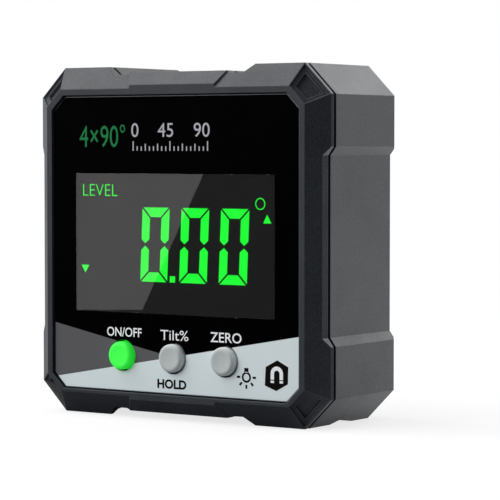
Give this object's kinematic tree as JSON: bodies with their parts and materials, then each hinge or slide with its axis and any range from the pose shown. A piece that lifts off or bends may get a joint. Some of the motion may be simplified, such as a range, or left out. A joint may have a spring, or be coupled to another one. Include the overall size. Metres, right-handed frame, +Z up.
{
  "type": "digital angle gauge",
  "caption": "Square digital angle gauge with a bevelled two-part case, a glossy front panel with a lit number display, round push buttons and magnetic feet with a pipe groove.",
  "frame": {"origin": "middle of the footprint, on the surface the gauge stands on", "axes": "+Z up, the panel faces -Y, +X is to the right as seen from the front"},
  "size_m": [0.055, 0.025, 0.055],
  "materials": {
    "case_plastic": "fine matte texture",
    "panel_plastic": "glossy black with a silver lower field",
    "seal_rubber": "matte",
    "display_glass": "polished",
    "light_guide": "clear",
    "led": "satin",
    "display_frame": "matte",
    "board": "satin",
    "chip": "matte",
    "green_button": "satin",
    "grey_button": "satin",
    "cell_jacket": "satin",
    "steel": "plain",
    "magnet": "nickel plated"
  },
  "bodies": {
    "case": {"front_shell": "case_plastic", "rear_shell": "case_plastic", "battery_cover": "case_plastic", "front_panel": "panel_plastic", "case_seal": "seal_rubber", "cover_seal": "seal_rubber", "display_connector": "seal_rubber", "display_glass": "display_glass", "light_guide": "light_guide", "backlight_led": "led", "display_frame": "display_frame", "main_board": "board", "controller_chip": "chip", "tilt_sensor": "chip", "power_switch": "steel", "tilt_switch": "steel", "zero_switch": "steel", "upper_cell": "cell_jacket", "lower_cell": "cell_jacket", "upper_spring": "steel", "lower_spring": "steel", "link_contact": "steel", "upper_contact": "steel", "lower_contact": "steel", "cover_screw": "steel", "case_screw_1": "steel", "case_screw_2": "steel", "case_screw_3": "steel", "case_screw_4": "steel", "board_screw_1": "steel", "board_screw_2": "steel", "board_screw_3": "steel", "board_screw_4": "steel", "base_magnet_1": "magnet", "base_magnet_2": "magnet", "base_magnet_3": "magnet", "base_magnet_4": "magnet"},
    "power": {"power_button": "green_button", "power_plunger": "chip"},
    "tilt": {"tilt_button": "grey_button", "tilt_plunger": "chip"},
    "zero": {"zero_button": "grey_button", "zero_plunger": "chip"}
  },
  "joints": [
    {"name": "power_press", "type": "slide", "parent": "case", "child": "power", "axis": [0, 1, 0], "range_m": [0, 0.0005], "stiffness_N_per_m": 800},
    {"name": "tilt_press", "type": "slide", "parent": "case", "child": "tilt", "axis": [0, 1, 0], "range_m": [0, 0.0005], "stiffness_N_per_m": 800},
    {"name": "zero_press", "type": "slide", "parent": "case", "child": "zero", "axis": [0, 1, 0], "range_m": [0, 0.0005], "stiffness_N_per_m": 800}
  ]
}
